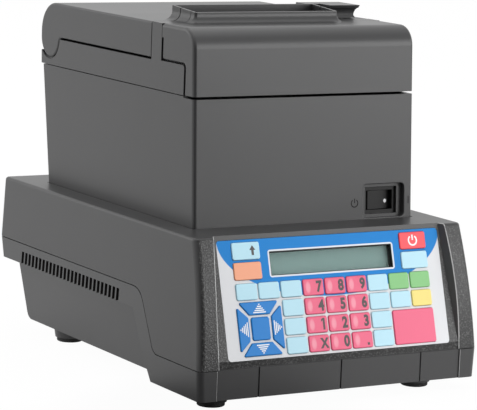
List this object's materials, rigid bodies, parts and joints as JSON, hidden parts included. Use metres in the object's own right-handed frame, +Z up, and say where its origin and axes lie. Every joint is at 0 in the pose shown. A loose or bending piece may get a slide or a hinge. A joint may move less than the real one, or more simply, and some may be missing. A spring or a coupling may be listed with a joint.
{
  "type": "ticket register",
  "caption": "Counter-top ticket register: low console with a sloping keypad and display, and a receipt printer with a hinged lid and raised paper exit sunk into its deck.",
  "frame": {"origin": "bottom centre of the bounding box, on the plane of the rubber feet", "axes": "+X to the user's right, +Y from the keypad to the rear, +Z up"},
  "size_m": [0.1824, 0.255, 0.2115],
  "materials": {
    "casing": "fine textured dark grey",
    "rubber": "matt",
    "roller": "ground matt",
    "screw_steel": "plain",
    "sheet_steel": "plain sheet",
    "panel_print": "printed grey and blue",
    "clear_window": "clear",
    "display": "grey green display",
    "circuit_board": "lacquered",
    "gear_plastic": "moulded",
    "motor_metal": "plated",
    "head_metal": "plain",
    "switch_black": "satin black",
    "key_pink": "glossy",
    "key_pale": "satin",
    "key_blue": "satin",
    "key_green": "satin",
    "key_orange": "satin",
    "key_yellow": "satin",
    "key_red": "satin"
  },
  "bodies": {
    "base": {"base_lower_case": "casing", "base_upper_case": "casing", "printer_lower_case": "casing", "printer_mid_frame": "casing", "rubber_feet": "rubber", "case_screws": "screw_steel", "hinge_pins": "screw_steel", "mechanism_frame": "sheet_steel", "keypad_faceplate": "panel_print", "lcd_window": "clear_window", "lcd_module": "display", "keypad_circuit_board": "circuit_board", "main_board": "circuit_board", "feed_motor": "motor_metal", "print_head": "head_metal", "power_switch_housing": "switch_black"},
    "lid": {"top_cover": "casing"},
    "front_cover": {"front_cover": "casing"},
    "release_lever": {"cover_release_lever": "casing"},
    "platen": {"platen_roller": "roller", "platen_gear": "gear_plastic"},
    "drive_gear": {"drive_gear": "gear_plastic"},
    "cutter": {"cutter_blade": "sheet_steel"},
    "rocker": {"power_switch_rocker": "switch_black"},
    "key_digit_0": {"key_digit_0": "key_pink"},
    "key_digit_1": {"key_digit_1": "key_pink"},
    "key_digit_2": {"key_digit_2": "key_pink"},
    "key_digit_3": {"key_digit_3": "key_pink"},
    "key_digit_4": {"key_digit_4": "key_pink"},
    "key_digit_5": {"key_digit_5": "key_pink"},
    "key_digit_6": {"key_digit_6": "key_pink"},
    "key_digit_7": {"key_digit_7": "key_pink"},
    "key_digit_8": {"key_digit_8": "key_pink"},
    "key_digit_9": {"key_digit_9": "key_pink"},
    "key_multiply": {"key_multiply": "key_pink"},
    "key_point": {"key_point": "key_pink"},
    "key_total": {"key_total": "key_pink"},
    "key_select": {"key_select": "key_pale"},
    "key_enter": {"key_enter": "key_pale"},
    "key_erase": {"key_erase": "key_pale"},
    "key_void": {"key_void": "key_pale"},
    "key_discount": {"key_discount": "key_pale"},
    "key_correct": {"key_correct": "key_pale"},
    "key_department_1": {"key_department_1": "key_pale"},
    "key_department_2": {"key_department_2": "key_pale"},
    "key_department_3": {"key_department_3": "key_pale"},
    "key_department_4": {"key_department_4": "key_pale"},
    "key_price_lookup": {"key_price_lookup": "key_pale"},
    "key_paper_feed": {"key_paper_feed": "key_pale"},
    "key_document": {"key_document": "key_pale"},
    "key_menu": {"key_menu": "key_blue"},
    "key_cursor_up": {"key_cursor_up": "key_blue"},
    "key_cursor_down": {"key_cursor_down": "key_blue"},
    "key_cursor_left": {"key_cursor_left": "key_blue"},
    "key_cursor_right": {"key_cursor_right": "key_blue"},
    "key_currency": {"key_currency": "key_green"},
    "key_credit": {"key_credit": "key_green"},
    "key_drawer": {"key_drawer": "key_orange"},
    "key_subtotal": {"key_subtotal": "key_yellow"},
    "key_power": {"key_power": "key_red"}
  },
  "joints": [
    {"name": "lid_hinge", "type": "hinge", "parent": "base", "child": "lid", "pos_m": [0, 0.0995, 0.1825], "axis": [-1, 0, 0], "range_deg": [0, 60]},
    {"name": "front_cover_slide", "type": "slide", "parent": "base", "child": "front_cover", "axis": [0, -1, 0], "range_m": [0, 0.022]},
    {"name": "release_lever_tilt", "type": "hinge", "parent": "lid", "child": "release_lever", "pos_m": [0.05625, -0.0205, 0.1975], "axis": [-1, 0, 0], "range_deg": [0, 12], "stiffness_Nm_per_rad": 0.05, "springref_deg": -11.46},
    {"name": "platen_spin", "type": "hinge", "parent": "lid", "child": "platen", "pos_m": [-0.008, -0.0205, 0.182], "axis": [1, 0, 0], "continuous": true},
    {"name": "drive_gear_spin", "type": "hinge", "parent": "base", "child": "drive_gear", "pos_m": [-0.0556, -0.02839, 0.16582], "axis": [1, 0, 0], "continuous": true},
    {"name": "cutter_slide", "type": "slide", "parent": "base", "child": "cutter", "axis": [0, 1, 0], "range_m": [0, 0.0055]},
    {"name": "rocker_tilt", "type": "hinge", "parent": "base", "child": "rocker", "pos_m": [0.0526, -0.07478, 0.10351], "axis": [0, -0.0621, -0.9981], "range_deg": [0, 20]},
    {"name": "key_digit_0_press", "type": "slide", "parent": "base", "child": "key_digit_0", "axis": [0, 0.9593, -0.2823], "range_m": [0, 0.0005], "stiffness_N_per_m": 1000, "springref_m": -0.0005},
    {"name": "key_digit_1_press", "type": "slide", "parent": "base", "child": "key_digit_1", "axis": [0, 0.9593, -0.2823], "range_m": [0, 0.0005], "stiffness_N_per_m": 1000, "springref_m": -0.0005},
    {"name": "key_digit_2_press", "type": "slide", "parent": "base", "child": "key_digit_2", "axis": [0, 0.9593, -0.2823], "range_m": [0, 0.0005], "stiffness_N_per_m": 1000, "springref_m": -0.0005},
    {"name": "key_digit_3_press", "type": "slide", "parent": "base", "child": "key_digit_3", "axis": [0, 0.9593, -0.2823], "range_m": [0, 0.0005], "stiffness_N_per_m": 1000, "springref_m": -0.0005},
    {"name": "key_digit_4_press", "type": "slide", "parent": "base", "child": "key_digit_4", "axis": [0, 0.9593, -0.2823], "range_m": [0, 0.0005], "stiffness_N_per_m": 1000, "springref_m": -0.0005},
    {"name": "key_digit_5_press", "type": "slide", "parent": "base", "child": "key_digit_5", "axis": [0, 0.9593, -0.2823], "range_m": [0, 0.0005], "stiffness_N_per_m": 1000, "springref_m": -0.0005},
    {"name": "key_digit_6_press", "type": "slide", "parent": "base", "child": "key_digit_6", "axis": [0, 0.9593, -0.2823], "range_m": [0, 0.0005], "stiffness_N_per_m": 1000, "springref_m": -0.0005},
    {"name": "key_digit_7_press", "type": "slide", "parent": "base", "child": "key_digit_7", "axis": [0, 0.9593, -0.2823], "range_m": [0, 0.0005], "stiffness_N_per_m": 1000, "springref_m": -0.0005},
    {"name": "key_digit_8_press", "type": "slide", "parent": "base", "child": "key_digit_8", "axis": [0, 0.9593, -0.2823], "range_m": [0, 0.0005], "stiffness_N_per_m": 1000, "springref_m": -0.0005},
    {"name": "key_digit_9_press", "type": "slide", "parent": "base", "child": "key_digit_9", "axis": [0, 0.9593, -0.2823], "range_m": [0, 0.0005], "stiffness_N_per_m": 1000, "springref_m": -0.0005},
    {"name": "key_multiply_press", "type": "slide", "parent": "base", "child": "key_multiply", "axis": [0, 0.9593, -0.2823], "range_m": [0, 0.0005], "stiffness_N_per_m": 1000, "springref_m": -0.0005},
    {"name": "key_point_press", "type": "slide", "parent": "base", "child": "key_point", "axis": [0, 0.9593, -0.2823], "range_m": [0, 0.0005], "stiffness_N_per_m": 1000, "springref_m": -0.0005},
    {"name": "key_total_press", "type": "slide", "parent": "base", "child": "key_total", "axis": [0, 0.9593, -0.2823], "range_m": [0, 0.0005], "stiffness_N_per_m": 1000, "springref_m": -0.0005},
    {"name": "key_select_press", "type": "slide", "parent": "base", "child": "key_select", "axis": [0, 0.9593, -0.2823], "range_m": [0, 0.0005], "stiffness_N_per_m": 1000, "springref_m": -0.0005},
    {"name": "key_enter_press", "type": "slide", "parent": "base", "child": "key_enter", "axis": [0, 0.9593, -0.2823], "range_m": [0, 0.0005], "stiffness_N_per_m": 1000, "springref_m": -0.0005},
    {"name": "key_erase_press", "type": "slide", "parent": "base", "child": "key_erase", "axis": [0, 0.9593, -0.2823], "range_m": [0, 0.0005], "stiffness_N_per_m": 1000, "springref_m": -0.0005},
    {"name": "key_void_press", "type": "slide", "parent": "base", "child": "key_void", "axis": [0, 0.9593, -0.2823], "range_m": [0, 0.0005], "stiffness_N_per_m": 1000, "springref_m": -0.0005},
    {"name": "key_discount_press", "type": "slide", "parent": "base", "child": "key_discount", "axis": [0, 0.9593, -0.2823], "range_m": [0, 0.0005], "stiffness_N_per_m": 1000, "springref_m": -0.0005},
    {"name": "key_correct_press", "type": "slide", "parent": "base", "child": "key_correct", "axis": [0, 0.9593, -0.2823], "range_m": [0, 0.0005], "stiffness_N_per_m": 1000, "springref_m": -0.0005},
    {"name": "key_department_1_press", "type": "slide", "parent": "base", "child": "key_department_1", "axis": [0, 0.9593, -0.2823], "range_m": [0, 0.0005], "stiffness_N_per_m": 1000, "springref_m": -0.0005},
    {"name": "key_department_2_press", "type": "slide", "parent": "base", "child": "key_department_2", "axis": [0, 0.9593, -0.2823], "range_m": [0, 0.0005], "stiffness_N_per_m": 1000, "springref_m": -0.0005},
    {"name": "key_department_3_press", "type": "slide", "parent": "base", "child": "key_department_3", "axis": [0, 0.9593, -0.2823], "range_m": [0, 0.0005], "stiffness_N_per_m": 1000, "springref_m": -0.0005},
    {"name": "key_department_4_press", "type": "slide", "parent": "base", "child": "key_department_4", "axis": [0, 0.9593, -0.2823], "range_m": [0, 0.0005], "stiffness_N_per_m": 1000, "springref_m": -0.0005},
    {"name": "key_price_lookup_press", "type": "slide", "parent": "base", "child": "key_price_lookup", "axis": [0, 0.9593, -0.2823], "range_m": [0, 0.0005], "stiffness_N_per_m": 1000, "springref_m": -0.0005},
    {"name": "key_paper_feed_press", "type": "slide", "parent": "base", "child": "key_paper_feed", "axis": [0, 0.9593, -0.2823], "range_m": [0, 0.0005], "stiffness_N_per_m": 1000, "springref_m": -0.0005},
    {"name": "key_document_press", "type": "slide", "parent": "base", "child": "key_document", "axis": [0, 0.9593, -0.2823], "range_m": [0, 0.0005], "stiffness_N_per_m": 1000, "springref_m": -0.0005},
    {"name": "key_menu_press", "type": "slide", "parent": "base", "child": "key_menu", "axis": [0, 0.9593, -0.2823], "range_m": [0, 0.0005], "stiffness_N_per_m": 1000, "springref_m": -0.0005},
    {"name": "key_cursor_up_press", "type": "slide", "parent": "base", "child": "key_cursor_up", "axis": [0, 0.9593, -0.2823], "range_m": [0, 0.0005], "stiffness_N_per_m": 1000, "springref_m": -0.0005},
    {"name": "key_cursor_down_press", "type": "slide", "parent": "base", "child": "key_cursor_down", "axis": [0, 0.9593, -0.2823], "range_m": [0, 0.0005], "stiffness_N_per_m": 1000, "springref_m": -0.0005},
    {"name": "key_cursor_left_press", "type": "slide", "parent": "base", "child": "key_cursor_left", "axis": [0, 0.9593, -0.2823], "range_m": [0, 0.0005], "stiffness_N_per_m": 1000, "springref_m": -0.0005},
    {"name": "key_cursor_right_press", "type": "slide", "parent": "base", "child": "key_cursor_right", "axis": [0, 0.9593, -0.2823], "range_m": [0, 0.0005], "stiffness_N_per_m": 1000, "springref_m": -0.0005},
    {"name": "key_currency_press", "type": "slide", "parent": "base", "child": "key_currency", "axis": [0, 0.9593, -0.2823], "range_m": [0, 0.0005], "stiffness_N_per_m": 1000, "springref_m": -0.0005},
    {"name": "key_credit_press", "type": "slide", "parent": "base", "child": "key_credit", "axis": [0, 0.9593, -0.2823], "range_m": [0, 0.0005], "stiffness_N_per_m": 1000, "springref_m": -0.0005},
    {"name": "key_drawer_press", "type": "slide", "parent": "base", "child": "key_drawer", "axis": [0, 0.9593, -0.2823], "range_m": [0, 0.0005], "stiffness_N_per_m": 1000, "springref_m": -0.0005},
    {"name": "key_subtotal_press", "type": "slide", "parent": "base", "child": "key_subtotal", "axis": [0, 0.9593, -0.2823], "range_m": [0, 0.0005], "stiffness_N_per_m": 1000, "springref_m": -0.0005},
    {"name": "key_power_press", "type": "slide", "parent": "base", "child": "key_power", "axis": [0, 0.9593, -0.2823], "range_m": [0, 0.0005], "stiffness_N_per_m": 1000, "springref_m": -0.0005}
  ],
  "couplings": [
    {"joint": "drive_gear_spin", "follows": "platen_spin", "ratio": -0.66667}
  ]
}
